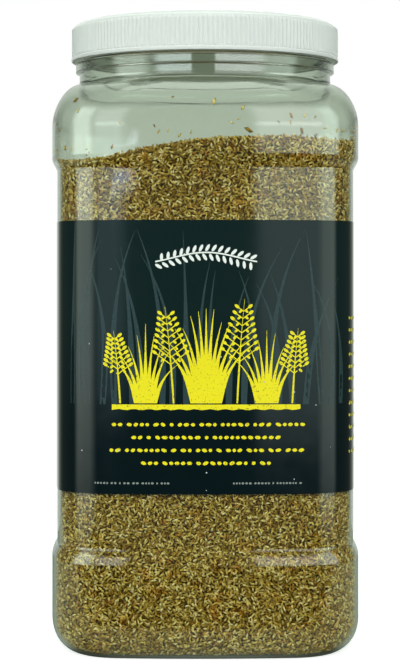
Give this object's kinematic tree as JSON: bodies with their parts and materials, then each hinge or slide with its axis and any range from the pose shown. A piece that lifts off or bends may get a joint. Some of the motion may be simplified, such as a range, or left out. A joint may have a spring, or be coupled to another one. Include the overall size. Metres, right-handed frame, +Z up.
{
  "type": "jar of grass seed",
  "caption": "Clear rounded-square plastic jar with a recessed label panel, wrapped in a dark label, filled with grass seed and closed by a white ribbed screw cap.",
  "frame": {"origin": "on the floor under the jar's axis, the centre of the foot ring", "axes": "+Z up along the jar's axis, -Y out of the label's front, +X to the right of it"},
  "size_m": [0.133, 0.133, 0.2706],
  "materials": {
    "clear_plastic": "clear blow-moulded PET with a faint grey-green cast",
    "white_plastic": "satin moulded polypropylene",
    "liner_board": "foil-faced pulp board",
    "label_film": "satin printed film",
    "seed": "loose glossy-husked grass seed"
  },
  "bodies": {
    "filled_jar": {"jar": "clear_plastic", "label": "label_film", "seed_fill": "seed"},
    "cap_liner": {"liner": "liner_board"},
    "screw_cap": {"cap": "white_plastic"}
  },
  "joints": [
    {"name": "cap_rise", "type": "slide", "parent": "filled_jar", "child": "cap_liner", "axis": [0, 0, 1], "range_m": [0, 0.0064]},
    {"name": "cap_turn", "type": "hinge", "parent": "cap_liner", "child": "screw_cap", "pos_m": [0, 0, 0.26], "axis": [0, 0, 1], "range_deg": [0, 450]}
  ],
  "couplings": [
    {"joint": "cap_rise", "follows": "cap_turn", "m_per_rad": 0.00080851}
  ]
}
